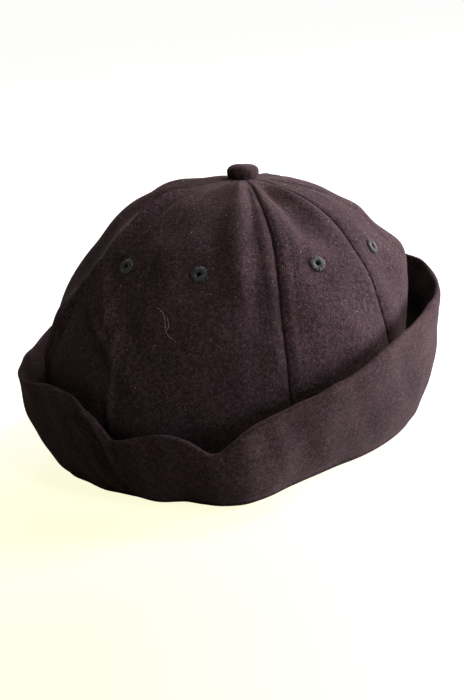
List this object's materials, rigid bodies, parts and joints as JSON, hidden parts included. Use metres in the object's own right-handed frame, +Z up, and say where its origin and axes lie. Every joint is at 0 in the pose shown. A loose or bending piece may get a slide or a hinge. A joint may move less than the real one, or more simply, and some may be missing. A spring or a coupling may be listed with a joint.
{
  "type": "brimless wool sailor hat",
  "caption": "Brimless dark wool sailor hat with a round panelled crown, a covered top button, embroidered air holes and an uneven turned-up cuff.",
  "frame": {"origin": "the middle of the hat's box in plan, on the surface its folded rim rests on", "axes": "+Z up through the crown; -Y is the side with the front seam and the dip in the cuff; +X is the hat's right in the picture, to which the crown leans"},
  "size_m": [0.236, 0.2318, 0.1476],
  "materials": {
    "crown_wool": "matte felted wool",
    "cuff_wool": "matte felted wool",
    "button_wool": "matte felted wool",
    "eyelet_thread": "soft thread sheen"
  },
  "bodies": {
    "root": {"crown_panel_1": "crown_wool", "crown_panel_2": "crown_wool", "crown_panel_3": "crown_wool", "crown_panel_4": "crown_wool", "crown_panel_5": "crown_wool", "crown_panel_6": "crown_wool", "crown_panel_7": "crown_wool", "crown_panel_8": "crown_wool", "eyelet_1": "eyelet_thread", "eyelet_2": "eyelet_thread", "eyelet_3": "eyelet_thread", "eyelet_4": "eyelet_thread", "eyelet_5": "eyelet_thread", "eyelet_6": "eyelet_thread", "eyelet_7": "eyelet_thread", "eyelet_8": "eyelet_thread", "cuff_right": "cuff_wool", "cuff_left": "cuff_wool", "top_button": "button_wool"}
  },
  "joints": []
}
